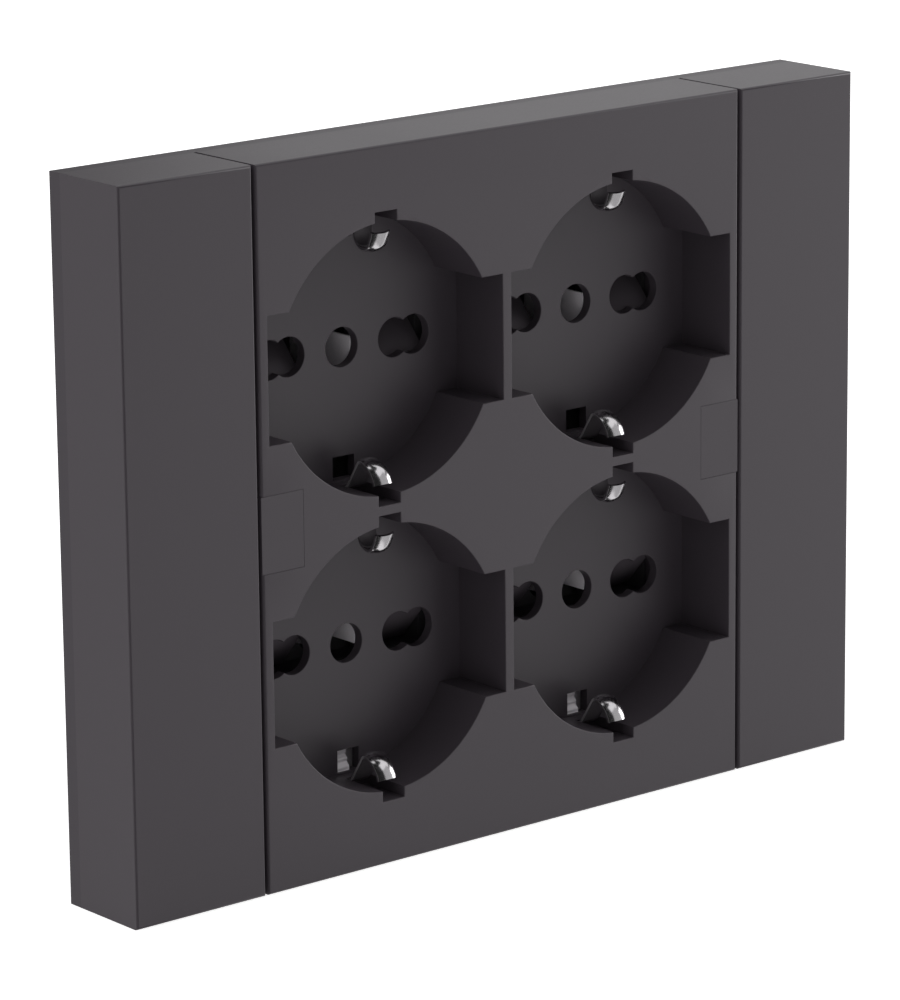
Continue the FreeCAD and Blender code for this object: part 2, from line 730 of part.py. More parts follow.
def make_busbars():
    """Two stamped busbars: neutral is flat, line crosses it on a raised link."""
    flat = ("carrier_back", BUS_BACK)
    line, neutral = [], []
    for side in (-1, 1):
        line_rail = about(f"{side} * ({LINE_X})", "bus_width / 2")
        neutral_rail = about(f"{side} * ({NEUTRAL_X})", "bus_width / 2")
        line.append(box("line_rail", line_rail, flat, about("0", BUS_REACH)))
        neutral.append(box("neutral_rail", neutral_rail, flat, about("0", BUS_REACH)))
        riser = ordered(side, f"{LINE_X} - bus_width / 2", f"{LINE_X} - bus_width / 2 + bus_sheet")
        link_edge = about("link_place", "link_height / 2")
        line.append(box("line_riser", riser, ("carrier_back", LINK_BACK), link_edge))
    line.append(
        box(
            "line_link",
            about("0", f"{LINE_X} - bus_width / 2"),
            (f"{LINK_BACK} - bus_sheet", LINK_BACK),
            about("link_place", "link_height / 2"),
        )
    )
    neutral.append(box("neutral_link", about("0", NEUTRAL_X), flat, about("0", "bus_width / 2")))
    node("line_busbar", join("line_busbar", line))
    node("neutral_busbar", join("neutral_busbar", neutral))
    node(
        "insulator_strip",
        box(
            "insulator_strip",
            about("0", f"{NEUTRAL_X} + bus_width / 2 + insulator_margin"),
            (BUS_BACK, f"{LINK_BACK} - bus_sheet"),
            about("link_place", "link_height / 2 + insulator_margin"),
        ),
    )


def make_earth_link():
    """A strap from the earth plate's spine to the earth terminal."""
    strap = box(
        "earth_strap",
        about("0", "spine_width / 2 - slit_slack"),
        (PLATE_BACK, "carrier_back"),
        (f"{STRAP_TOP} - bus_sheet", STRAP_TOP),
    )
    seat = box(
        "earth_seat",
        about("0", "terminal_width / 2"),
        ("carrier_back", BUS_BACK),
        ("-earth_terminal_place - terminal_length / 2", STRAP_TOP),
    )
    node("earth_link", join("earth_link", [strap, seat]))


def make_terminals():
    """Three brass blocks, each with a wire bore and a clamping screw beside it."""
    for name, (x, z) in TERMINALS.items():
        depth = (BUS_BACK, TERMINAL_BACK)
        block = box(
            f"{name}_block", about(x, "terminal_width / 2"), depth, about(z, "terminal_length / 2")
        )
        screw_z, wire_z = f"({z}) + terminal_offset", f"({z}) - terminal_offset"
        bore = (f"{BUS_BACK} + bus_sheet", f"{TERMINAL_BACK} + overcut")
        bores = [
            rod(f"{name}_wire_bore", "wire_bore", x, wire_z, bore),
            rod(f"{name}_screw_bore", "terminal_screw", x, screw_z, bore),
        ]
        node(f"{name}_terminal", cut(f"{name}_terminal", block, bores))
        head_back = f"{TERMINAL_BACK} + terminal_head_depth"
        shank = (f"{BUS_BACK} + bus_sheet", TERMINAL_BACK)
        solid = join(
            f"{name}_screw_solid",
            [
                rod(f"{name}_shank", "terminal_screw", x, screw_z, shank),
                rod(f"{name}_head", "terminal_head", x, screw_z, (TERMINAL_BACK, head_back)),
            ],
        )
        slot = box(
            f"{name}_slot",
            about(x, "terminal_head + overcut"),
            (f"{head_back} - slot_depth", f"{head_back} + overcut"),
            about(screw_z, "slot_width / 2"),
        )
        node(f"{name}_terminal_screw", cut(f"{name}_terminal_screw", solid, [slot]))


def make_carrier():
    """The moulded block behind the panel with rooms for shutters, springs, forks and contacts."""
    block = box(
        "carrier_block",
        about("0", "carrier_width / 2"),
        (CARRIER_FRONT, "carrier_back"),
        about("0", "carrier_height / 2"),
    )
    solids, away = [block], []
    for name, (across, up) in SOCKETS.items():
        x, z = middle(across, up)
        away.append(
            box(
                f"{name}_chamber",
                about(x, "shutter_outer + shutter_slack"),
                (f"{CARRIER_FRONT} - overcut", "shutter_back + shutter_slack"),
                shutter_room(up, z),
            )
        )
        start = "shutter_cover + shutter_tail"
        ring = "spring_radius + spring_wire / 2 + spring_slack"
        away.append(
            box(
                f"{name}_spring_room",
                about(x, ring),
                (f"{CARRIER_FRONT} - overcut", "shutter_back + shutter_slack"),
                outward(up, z, f"-({start} + spring_length)", f"-({start})"),
            )
        )
        outside = "fork_gap / 2 + fork_sheet + slit_slack"
        tail = "arm_start + arm_height + slit_slack"
        away.append(
            box(
                f"{name}_fork_room",
                about(x, outside),
                ("shutter_back", "carrier_back + overcut"),
                outward(up, z, f"-({tail})", "fork_top + slit_slack"),
            )
        )
        away.append(
            rod(f"{name}_earth_pin_room", "earth_hole", x, z, ("shutter_back", "carrier_back + overcut"))
        )
        for side in (-1, 1):
            leaf = shifted(x, ordered(side, "fork_gap / 2 - slit_slack", outside))
            away.append(
                box(
                    f"{name}_tail_slit",
                    leaf,
                    (f"{CARRIER_FRONT} - overcut", "shutter_back + shutter_slack"),
                    outward(up, z, f"-({tail})", "slit_slack - arm_start"),
                )
            )
            contact = ordered(side, "contact_inner - contact_slack", "contact_outer + contact_slack")
            away.append(
                box(
                    f"{name}_contact_room",
                    shifted(x, contact),
                    ("shutter_back", "carrier_back + overcut"),
                    about(z, "contact_gap / 2 + contact_sheet + contact_slack"),
                )
            )
        away.append(
            box(
                f"{name}_foot_room",
                about(x, "clip_width / 2 + slit_slack"),
                (f"{CARRIER_FRONT} - overcut", f"{FEET_BACK} + slit_slack"),
                about("0", "pitch_down / 2 - leg_reach + slit_slack"),
            )
        )
    for name, side in SCREWS.items():
        x = f"{side} * carrier_screw_place"
        if side:
            pad = (PANEL_BACK, CARRIER_FRONT)
            solids.append(rod(f"pad_{name}", "carrier_screw + boss_wall", x, "0", pad))
        through = (f"{PANEL_BACK} - overcut", "carrier_back + overcut")
        behind_seat = ("carrier_screw_seat", "carrier_back + overcut")
        away.append(rod(f"screw_way_{name}", "carrier_screw", x, "0", through))
        away.append(rod(f"head_way_{name}", "carrier_screw_head + slit_slack", x, "0", behind_seat))
    for side in (-1, 1):
        thread = ("cover_screw_tip", "carrier_back + overcut")
        away.append(rod("cover_thread", "cover_screw", f"{side} * cover_screw_place", "0", thread))
    away.append(
        box(
            "strap_way",
            about("0", "spine_width / 2"),
            (f"{CARRIER_FRONT} - overcut", "carrier_back + overcut"),
            (f"{STRAP_TOP} - bus_sheet - slit_slack", f"{STRAP_TOP} + slit_slack"),
        )
    )
    node("contact_carrier", cut("contact_carrier", join("carrier_solid", solids), away))


def make_rear_cover():
    """The cover over busbars and terminals, with screw bosses and entries at the back."""
    block = box(
        "cover_block",
        about("0", "carrier_width / 2"),
        ("carrier_back", "cover_back"),
        about("0", "carrier_height / 2"),
    )
    room = box(
        "cover_room",
        about("0", "carrier_width / 2 - cover_wall"),
        ("carrier_back - overcut", "cover_back - cover_wall"),
        about("0", "carrier_height / 2 - cover_wall"),
    )
    places = [f"{side} * cover_screw_place" for side in (-1, 1)]
    bosses = [
        rod("cover_boss", "cover_screw + boss_wall", x, "0", ("carrier_back", "cover_back")) for x in places
    ]
    away = [cut("cover_hollow", room, bosses)]
    through = ("carrier_back - overcut", "cover_back + overcut")
    behind_seat = ("cover_back - head_depth", "cover_back + overcut")
    for x in places:
        away.append(rod("cover_way", "cover_screw", x, "0", through))
        away.append(rod("cover_head_way", "cover_screw_head", x, "0", behind_seat))
    for name, (x, z) in TERMINALS.items():
        back = ("cover_back - cover_wall - overcut", "cover_back + overcut")
        away.append(rod(f"{name}_entry", "wire_entry", x, f"({z}) - terminal_offset", back))
        away.append(rod(f"{name}_driver", "driver_entry", x, f"({z}) + terminal_offset", back))
    node("rear_cover", cut("rear_cover", block, away))


def make_screw(name, shank, head, x, tip, seat):
    """A slotted cheese-head screw along Y at the plate's half height."""
    solid = join(
        name + "_solid",
        [
            rod(name + "_shank", shank, x, "0", (tip, seat)),
            rod(name + "_head", head, x, "0", (seat, f"{seat} + head_depth")),
        ],
    )
    slot = box(
        name + "_slot",
        about(x, f"{head} + overcut"),
        (f"{seat} + head_depth - slot_depth", f"{seat} + head_depth + overcut"),
        about("0", "slot_width / 2"),
    )
    node(name, cut(name, solid, [slot]))


def make_screws():
    """Three screws from carrier to panel and two from rear cover to carrier."""
    for name, side in SCREWS.items():
        make_screw(
            f"carrier_screw_{name}",
            "carrier_screw",
            "carrier_screw_head",
            f"{side} * carrier_screw_place",
            "-carrier_screw_reach",
            "carrier_screw_seat",
        )
    for name, side in (("left", -1), ("right", 1)):
        make_screw(
            f"cover_screw_{name}",
            "cover_screw",
            "cover_screw_head",
            f"{side} * cover_screw_place",
            "cover_screw_tip",
            "cover_back - head_depth",
        )


def make_all():
    """Every sub-part, from the room side to the wall side."""
    make_front_panel()
    make_trims()
    make_caps()
    make_mounting_frame()
    make_earth_plate()
    for name, (across, up) in SOCKETS.items():
        for end, side in (("top", 1), ("bottom", -1)):
            make_clip(f"earth_clip_{name}_{end}", across, up, side)
        make_fork(f"earth_fork_{name}", across, up)
        make_shutter(f"shutter_{name}", across, up)
        make_spring(f"shutter_spring_{name}", across, up)
        for pole, side in (("line", across), ("neutral", -across)):
            make_pole_contact(f"{pole}_contact_{name}", across, up, side)
    make_busbars()
    make_earth_link()
    make_terminals()
    make_carrier()
    make_rear_cover()
    make_screws()


def check_and_write():
    """Stop at any failed object, then write each sub-part."""
    doc.recompute()
    for thing in doc.Objects:
        if "Invalid" in thing.State or "Error" in thing.State:
            raise SystemExit(f"{thing.Name} failed: {thing.State}")
    os.makedirs("parts", exist_ok=True)
    for name, thing in NODES.items():
        shape = thing.Shape
        if shape.isNull() or not shape.isValid():
            raise SystemExit(f"{name} has no valid shape")
        shape.exportStep(os.path.join("parts", f"{name}.step"))
        print(f"{name}: {len(shape.Solids)} solid, {shape.Volume:.1f} mm3")


make_all()
check_and_write()
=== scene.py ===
import json
import math

import bmesh
import bpy
import numpy as np
from mathutils import Matrix, Vector
from mathutils.geometry import delaunay_2d_cdt


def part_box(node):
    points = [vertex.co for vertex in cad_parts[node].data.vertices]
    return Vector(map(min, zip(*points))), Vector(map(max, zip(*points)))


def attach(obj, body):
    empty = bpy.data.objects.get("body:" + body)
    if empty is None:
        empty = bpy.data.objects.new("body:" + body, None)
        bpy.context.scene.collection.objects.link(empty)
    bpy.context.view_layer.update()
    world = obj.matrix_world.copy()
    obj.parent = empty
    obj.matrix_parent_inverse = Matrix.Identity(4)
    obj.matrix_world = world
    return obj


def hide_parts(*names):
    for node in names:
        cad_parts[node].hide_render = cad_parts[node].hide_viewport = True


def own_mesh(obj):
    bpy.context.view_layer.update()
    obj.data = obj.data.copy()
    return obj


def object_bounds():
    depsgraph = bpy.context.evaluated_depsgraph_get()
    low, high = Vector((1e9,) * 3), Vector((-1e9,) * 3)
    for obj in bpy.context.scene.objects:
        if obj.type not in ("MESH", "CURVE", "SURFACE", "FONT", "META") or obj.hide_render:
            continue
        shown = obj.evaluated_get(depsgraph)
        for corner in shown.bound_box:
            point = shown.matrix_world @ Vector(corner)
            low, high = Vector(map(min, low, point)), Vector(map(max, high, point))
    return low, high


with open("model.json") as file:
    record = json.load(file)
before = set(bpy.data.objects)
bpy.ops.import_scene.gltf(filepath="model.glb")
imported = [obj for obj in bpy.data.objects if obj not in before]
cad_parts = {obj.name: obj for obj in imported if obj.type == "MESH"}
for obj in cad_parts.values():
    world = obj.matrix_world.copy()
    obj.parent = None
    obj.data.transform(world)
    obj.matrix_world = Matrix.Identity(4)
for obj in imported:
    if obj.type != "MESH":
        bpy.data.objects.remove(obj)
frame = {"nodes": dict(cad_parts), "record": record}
cad_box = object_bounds()
nodes = frame["nodes"]
MM = 0.001

# Camera.
# It looks at the plate from the upper left with a long lens, so that each socket shows its right inner wall.
# Angles, distance and lens come from the corners of the plate and the recesses in the photograph.
TARGET = Vector((1.923, 0.0, -5.568)) * MM
AZIMUTH, ELEVATION, ROLL = (math.radians(a) for a in (-39.577, 14.222, -0.604))
DISTANCE = 738.673 * MM
SENSOR = 36.0
LENS = 182.86

back = Vector(
    (math.sin(AZIMUTH) * math.cos(ELEVATION), -math.cos(AZIMUTH) * math.cos(ELEVATION), math.sin(ELEVATION))
)
level = (-back).cross(Vector((0, 0, 1))).normalized()
upright = back.cross(level)
right = level * math.cos(ROLL) + upright * math.sin(ROLL)
above = upright * math.cos(ROLL) - level * math.sin(ROLL)
camera = bpy.data.objects.new("camera", bpy.data.cameras.new("camera"))
bpy.context.scene.collection.objects.link(camera)
turn = Matrix((right, above, back)).transposed()
camera.matrix_world = Matrix.Translation(TARGET + back * DISTANCE) @ turn.to_4x4()
camera.data.sensor_fit = "VERTICAL"
camera.data.sensor_height = SENSOR
camera.data.lens = LENS
camera.data.clip_start = 0.01
bpy.context.scene.camera = camera
bpy.context.scene.view_settings.view_transform = "Standard"


# Front panel.
# The real panel is one injection moulding in anthracite plastic, which snaps onto the mounting frame. It has
# a flat face, four plug recesses with side ears and clip notches, thin floors with pin holes, and a notch at
# each side for a screw cap.
low, high = (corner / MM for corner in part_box("front_panel"))
FACE_Y, REAR_Y = low.y, high.y
PANEL_X, PANEL_Z = high.x, high.z
PITCH_X, PITCH_Z = 43.6, 43.2
SOCKETS = {
    f"{row}_{column}": (across * PITCH_X / 2, up * PITCH_Z / 2)
    for row, up in (("upper", 1), ("lower", -1))
    for column, across in (("left", -1), ("right", 1))
}
RECESS_RADIUS = 19.45
EAR = (21.0, 9.1)
NOTCH = (1.95, 20.9)
NOTCH_Y = FACE_Y + 8.7
FLOOR_Y = FACE_Y + 10.35
BEHIND_FLOOR_Y = FLOOR_Y + 1.5
SKIN_Y = FACE_Y + 2.2
PIN_RADIUS = 2.85
PIN_PLACES = (9.5, 13.0)
WINDOW = (1.95, 15.7, 19.1)
SLIT = (1.8, 19.55, 20.25)
CAP_NOTCH = (37.1, 5.55)
OUTER_ROUND, RIM_ROUND, HOLE_ROUND = 0.4, 0.12, 0.12
PANEL_WALL = 1.4
HOOK_POCKET = (41.4, 43.4, 49.9)
SCREW_BORE = (1.4, 31.0, -8.0)
BORE_SIDES = 24
OUTLINE_STEPS = (3, 2, 44, 2, 3)
SMOOTH_BELOW = math.radians(35)
SAME_POINT = 1e-4 * MM
NO_LENGTH, NO_WIDTH = 1e-6, 1e-9
HOLES_LEFT_OUT, FILL_SNAP = 2, 1e-7


def quarter(radius, steps=5):
    """A quarter round as (inset, depth) pairs, from the flat face round to the wall."""
    turned = np.linspace(0, math.pi / 2, steps)
    return np.stack([radius * (1 - np.sin(turned)), radius * (1 - np.cos(turned))], axis=1)


def ring(points, y, centre=(0, 0)):
    """Points of a flat outline in X and Z, set at one depth y."""
    points = np.asarray(points, float) + centre
    return np.column_stack([points[:, 0], np.full(len(points), y), points[:, 1]])


def loft(rings):
    """Closed rings of equal length, joined one after another by a grid of four-sided faces."""
    count, size = len(rings), len(rings[0])
    row, column = np.meshgrid(np.arange(count - 1), np.arange(size), indexing="ij")
    after = (column + 1) % size
    here, there = row * size, (row + 1) * size
    faces = np.stack([here + column, here + after, there + after, there + column], -1)
    return np.concatenate(rings), faces.reshape(-1, 4).tolist()


def flat(y, outer, *holes):
    """The flat region inside one outline and outside the others, made of the outlines' own points."""
    loops = [loop[np.linalg.norm(loop - np.roll(loop, 1, 0), axis=1) > NO_LENGTH] for loop in (outer, *holes)]
    ends = np.cumsum([len(loop) for loop in loops]).tolist()
    inside = [list(range(end - len(loop), end)) for end, loop in zip(ends, loops)]
    corners = [Vector(p) for p in np.concatenate(loops)]
    points, _, faces, *_ = delaunay_2d_cdt(corners, [], inside, HOLES_LEFT_OUT, FILL_SNAP)
    return ring(np.array([tuple(p) for p in points]), y), [list(f) for f in faces]


def rectangle(left, low_z, right_x, high_z):
    """The four corners of a rectangle, anticlockwise seen from the room."""
    return np.array([(left, low_z), (right_x, low_z), (right_x, high_z), (left, high_z)], float)


def slot_outline(half, near, far, side):
    """A rectangle as wide as twice half, between two heights above the middle, or below it for side -1."""
    return rectangle(-half, min(side * near, side * far), half, max(side * near, side * far))


def circle(radius, steps=64):
    """Even points round a circle: radius * (cos a, sin a)."""
    angle = np.linspace(0, 2 * math.pi, steps, endpoint=False)
    return radius * np.stack([np.cos(angle), np.sin(angle)], 1)


def solid(name, parts, body, replaced, smooth=SMOOTH_BELOW):
    """One closed mesh from surfaces in millimetres: same points merged, faces turned outwards."""
    starts = np.cumsum([0] + [len(points) for points, _ in parts])
    points = np.concatenate([points for points, _ in parts]) * MM
    faces = [[start + i for i in face] for start, (_, several) in zip(starts, parts) for face in several]
    mesh = bpy.data.meshes.new(name)
    mesh.from_pydata(points.tolist(), [], faces)
    shape = bmesh.new()
    shape.from_mesh(mesh)
    bmesh.ops.remove_doubles(shape, verts=shape.verts, dist=SAME_POINT)
    bmesh.ops.dissolve_degenerate(shape, edges=shape.edges, dist=SAME_POINT)
    bmesh.ops.recalc_face_normals(shape, faces=shape.faces)
    shape.to_mesh(mesh)
    shape.free()
    mesh.shade_smooth()
    mesh.set_sharp_from_angle(angle=smooth)
    piece = bpy.data.objects.new(name, mesh)
    bpy.context.scene.collection.objects.link(piece)
    even = piece.modifiers.new("even_shading", "WEIGHTED_NORMAL")
    even.mode = "FACE_AREA_WITH_ANGLE"
    even.keep_sharp = True
    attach(piece, body)
    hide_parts(*replaced)
    return piece


def socket_outline(grow=0.0, notched=True):
    """In each direction, the farthest of a circle, the ears' rectangle and the notches' rectangle."""
    radius, ear, notch_x = RECESS_RADIUS + grow, np.add(EAR, grow), NOTCH[0] + grow
    notch_z = NOTCH[1] + grow if notched else math.sqrt(radius**2 - notch_x**2)
    corners = (
        0,
        math.atan2(ear[1], ear[0]),
        math.asin(ear[1] / radius),
        math.acos(notch_x / radius),
        math.atan2(notch_z, notch_x),
        math.pi / 2,
    )
    spans = zip(corners, corners[1:], OUTLINE_STEPS)
    first = np.concatenate([np.linspace(start, end, steps, endpoint=False) for start, end, steps in spans])
    second = math.pi - np.append(first, math.pi / 2)[::-1]
    angle = np.concatenate([first, second[:-1]])
    angle = np.concatenate([angle, angle + math.pi])
    cos, sin = np.cos(angle), np.sin(angle)
    wide, tall = np.maximum(abs(cos), NO_WIDTH), np.maximum(abs(sin), NO_WIDTH)
    reach = np.full(len(angle), radius)
    for half_x, half_z in (ear, (notch_x, notch_z)):
        reach = np.maximum(reach, np.minimum(half_x / wide, half_z / tall))
    return reach[:, None] * np.stack([cos, sin], 1)


def pin_outline(grow=0.0, steps=96):
    """Two overlapping circles about their common middle: c |cos a| + sqrt(r^2 - c^2 sin^2 a)."""
    radius, apart = PIN_RADIUS + grow, (PIN_PLACES[1] - PIN_PLACES[0]) / 2
    angle = np.linspace(0, 2 * math.pi, steps, endpoint=False)
    reach = apart * abs(np.cos(angle)) + np.sqrt(radius**2 - (apart * np.sin(angle)) ** 2)
    return reach[:, None] * np.stack([np.cos(angle), np.sin(angle)], 1)


def panel_outline(inset=0.0, cap_inset=0.0):
    """A rectangle with one square notch at each side for the screw caps."""
    x, z = PANEL_X - inset, PANEL_Z - inset
    cap_x, cap_z = CAP_NOTCH[0] - cap_inset, CAP_NOTCH[1] + cap_inset
    right_side = [(x, -z), (x, -cap_z), (cap_x, -cap_z), (cap_x, cap_z), (x, cap_z), (x, z)]
    return np.array(right_side + [(-px, -pz) for px, pz in right_side], float)


def panel_parts():
    """Every surface of the front panel: face, rims, recess walls, floors, holes, pockets and back."""
    outside = [ring(panel_outline(i), FACE_Y + d) for i, d in quarter(OUTER_ROUND)]
    mouths = [socket_outline(RIM_ROUND) + centre for centre in SOCKETS.values()]
    parts = [
        loft(outside + [ring(panel_outline(), REAR_Y)]),
        flat(FACE_Y, panel_outline(OUTER_ROUND), *mouths),
    ]
    behind = []
    pin_middle = sum(PIN_PLACES) / 2
    for centre in SOCKETS.values():
        rim = [ring(socket_outline(g), FACE_Y + d, centre) for g, d in quarter(RIM_ROUND)]
        parts.append(loft(rim + [ring(socket_outline(), NOTCH_Y, centre)]))
        plain = socket_outline(notched=False)
        parts.append(loft([ring(plain, NOTCH_Y, centre), ring(plain, FLOOR_Y, centre)]))
        holes = [(pin_outline, (-pin_middle, 0)), (pin_outline, (pin_middle, 0))]
        floor_loops = []
        for make, offset in holes:
            place = np.add(centre, offset)
            rounded = [ring(make(g), FLOOR_Y + d, place) for g, d in quarter(HOLE_ROUND, 4)]
            parts.append(loft(rounded + [ring(make(), BEHIND_FLOOR_Y, place)]))
            floor_loops.append(make(HOLE_ROUND) + place)
            behind.append(make() + place)
        rounded = [ring(circle(PIN_RADIUS + g), FLOOR_Y + d, centre) for g, d in quarter(HOLE_ROUND, 4)]
        parts.append(loft(rounded + [ring(circle(PIN_RADIUS), BEHIND_FLOOR_Y, centre)]))
        floor_loops.append(circle(PIN_RADIUS + HOLE_ROUND) + centre)
        behind.append(circle(PIN_RADIUS) + centre)
        notched = socket_outline()
        for side in (-1, 1):
            window = slot_outline(*WINDOW, side) + centre
            parts.append(loft([ring(window, FLOOR_Y), ring(window, BEHIND_FLOOR_Y)]))
            floor_loops.append(window)
            slit = slot_outline(*SLIT, side) + centre
            parts.append(loft([ring(slit, NOTCH_Y), ring(slit, BEHIND_FLOOR_Y)]))
            within = abs(notched[:, 0]) < NOTCH[0] + NO_LENGTH
            in_notch = np.flatnonzero(within & (notched[:, 1] * side > 0))
            edge = np.concatenate([notched[in_notch], plain[in_notch][::-1]]) + centre
            parts.append(flat(NOTCH_Y, edge, slit))
            behind += [window, slit]
        parts.append(flat(FLOOR_Y, plain + centre, *floor_loops))
    for side in (-1, 1):
        pocket = slot_outline(*HOOK_POCKET, side)
        parts.append(loft([ring(pocket, BEHIND_FLOOR_Y), ring(pocket, SKIN_Y)]))
        parts.append(flat(SKIN_Y, pocket))
        behind.append(pocket)
    radius, place, tip_y = SCREW_BORE
    for x in (-place, 0, place):
        bore = circle(radius, BORE_SIDES) + (x, 0)
        parts.append(loft([ring(bore, BEHIND_FLOOR_Y), ring(bore, tip_y)]))
        parts.append(flat(tip_y, bore))
        behind.append(bore)
    room = panel_outline(PANEL_WALL, PANEL_WALL)
    parts.append(flat(BEHIND_FLOOR_Y, room, *behind))
    parts.append(loft([ring(room, BEHIND_FLOOR_Y), ring(room, REAR_Y)]))
    parts.append(flat(REAR_Y, panel_outline(), room))
    return parts


MIX_SHARE, MIX_ONE, MIX_OTHER, MIXED = 0, 6, 7, 2


class Value:
    """A socket in a material: arithmetic on it adds Math nodes."""

    def __init__(self, finish, socket):
        self.finish, self.socket = finish, socket

    def maths(self, operation, *terms):
        return self.finish.add("ShaderNodeMath", {"operation": operation}, dict(enumerate(terms)))

    def __add__(self, other):
        return self.maths("ADD", self, other)

    def __rsub__(self, other):
        return self.maths("SUBTRACT", other, self)

    def __mul__(self, other):
        return self.maths("MULTIPLY", self, other)

    def __abs__(self):
        return self.maths("ABSOLUTE", self)

    __radd__, __rmul__ = __add__, __mul__


class Finish:
    """A material under construction, with its object coordinates and its surface shader."""

    def __init__(self, name):
        self.material = bpy.data.materials.new(name)
        self.material.use_nodes = True
        self.tree = self.material.node_tree
        self.shader = self.tree.nodes["Principled BSDF"]
        self.place = self.add("ShaderNodeTexCoord", {}, {}, "Object")

    def add(self, kind, settings, inputs, output=0):
        """A node with its settings, then the values or links of its sockets; gives one of its outputs."""
        made = self.tree.nodes.new(kind)
        for key, value in settings.items():
            setattr(made, key, value)
        for key, value in inputs.items():
            self.put(made.inputs[key], value)
        return Value(self, made.outputs[output])

    def put(self, socket, value):
        """A link, a colour or a number into one socket."""
        if isinstance(value, Value):
            self.tree.links.new(value.socket, socket)
        elif isinstance(value, (tuple, list)) and len(value) == 3 and socket.type == "RGBA":
            socket.default_value = (*value, 1.0)
        else:
            socket.default_value = value

    def noise(self, scale, detail=2.0, stretch=(1, 1, 1)):
        """Noise from 0 to 1 on object coordinates, with scale in features per metre."""
        where = self.add("ShaderNodeMapping", {}, {"Vector": self.place, "Scale": stretch})
        return self.add("ShaderNodeTexNoise", {}, {"Vector": where, "Scale": scale, "Detail": detail}, "Fac")

    def ramp(self, value, start, end):
        """0 where the value is at the start, rising evenly to 1 at the end."""
        limits = {"From Min": start, "From Max": end, "To Min": 0.0, "To Max": 1.0}
        return self.add("ShaderNodeMapRange", {}, {"Value": value, **limits})

    def blend(self, share, one, other):
        """One colour where share is 0 and the other where it is 1."""
        return self.add(
            "ShaderNodeMix", {"data_type": "RGBA"}, {MIX_SHARE: share, MIX_ONE: one, MIX_OTHER: other}, MIXED
        )

    def surface(self, **sockets):
        """Sets sockets of the surface shader, with _ for a space."""
        for key, value in sockets.items():
            self.put(self.shader.inputs[key.replace("_", " ")], value)

    def bump(self, height, distance):
        """A relief of the given depth in metres."""
        relief = {"Height": height, "Distance": distance, "Strength": 1.0}
        self.put(self.shader.inputs["Normal"], self.add("ShaderNodeBump", {}, relief, "Normal"))


PLATE_COLOUR = (0.057, 0.0478, 0.0573)
CLOUD_SCALE, GRAIN_SCALE, GRAIN_RELIEF = 38.0, 2600.0, 0.000006
CLOUD_SHARE, TONE_SPREAD, SHEEN_SPREAD = 0.7, 0.05, 0.06


def moulded(name, colour, roughness, grain=GRAIN_SCALE):
    """Injection-moulded plastic: faint clouds in the colour, a fine eroded grain and an uneven sheen."""
    finish = Finish(name)
    clouds = finish.noise(CLOUD_SCALE, 3.0)
    fine = finish.noise(grain)
    pale = tuple(c * (1 + TONE_SPREAD) for c in colour)
    dark = tuple(c * (1 - TONE_SPREAD) for c in colour)
    finish.surface(
        Base_Color=finish.blend(clouds * CLOUD_SHARE + fine * (1 - CLOUD_SHARE), dark, pale),
        Roughness=clouds * SHEEN_SPREAD + fine * SHEEN_SPREAD + (roughness - SHEEN_SPREAD),
        Specular_IOR_Level=0.5,
    )
    finish.bump(fine, GRAIN_RELIEF)
    return finish.material


plate_plastic = moulded("plate_plastic", PLATE_COLOUR, 0.46)
panel = solid("panel", panel_parts(), "housing", ["front_panel"])
panel.data.materials.append(plate_plastic)

# Side trims.
# Two plain hollow mouldings of the same plastic, one at each side of the panel behind a narrow shadow gap.
# They have the panel's depth and small rounded front edges, and snap onto hooks of the mounting frame.
TRIM_WALL = 2.0


def shell_parts(left, bottom, right_x, top, wall, round_by):
    """A box open at the back: rounded front edges, side walls, back rim and the pocket inside."""

    def outline(inset):
        return rectangle(left + inset, bottom + inset, right_x - inset, top - inset)

    outside = [ring(outline(i), FACE_Y + d) for i, d in quarter(round_by)]
    return [
        loft(outside + [ring(outline(0), REAR_Y)]),
        flat(FACE_Y, outline(round_by)),
        flat(REAR_Y, outline(0), outline(wall)),
        loft([ring(outline(wall), REAR_Y), ring(outline(wall), SKIN_Y)]),
        flat(SKIN_Y, outline(wall)),
    ]


for side in ("left", "right"):
    low, high = (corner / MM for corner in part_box(f"trim_{side}"))
    trim = solid(
        f"side_trim_{side}",
        shell_parts(low.x, low.z, high.x, high.z, TRIM_WALL, OUTER_ROUND),
        "housing",
        [f"trim_{side}"],
    )
    trim.data.materials.append(plate_plastic)

# Screw caps.
# Two small hollow caps of the same plastic lie flush in the panel's side notches and hide the box screws.
# Only a hairline shows round them.
CAP_WALL, CAP_ROUND, CAP_GROWN = 1.2, 0.03, 0.06

for side in ("left", "right"):
    low, high = (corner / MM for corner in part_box(f"screw_cap_{side}"))
    grown = (low.x - CAP_GROWN, low.z - CAP_GROWN, high.x + CAP_GROWN, high.z + CAP_GROWN)
    cap = solid(
        f"cap_{side}",
        shell_parts(*grown, CAP_WALL, CAP_ROUND),
        "housing",
        [f"screw_cap_{side}"],
    )
    cap.data.materials.append(plate_plastic)

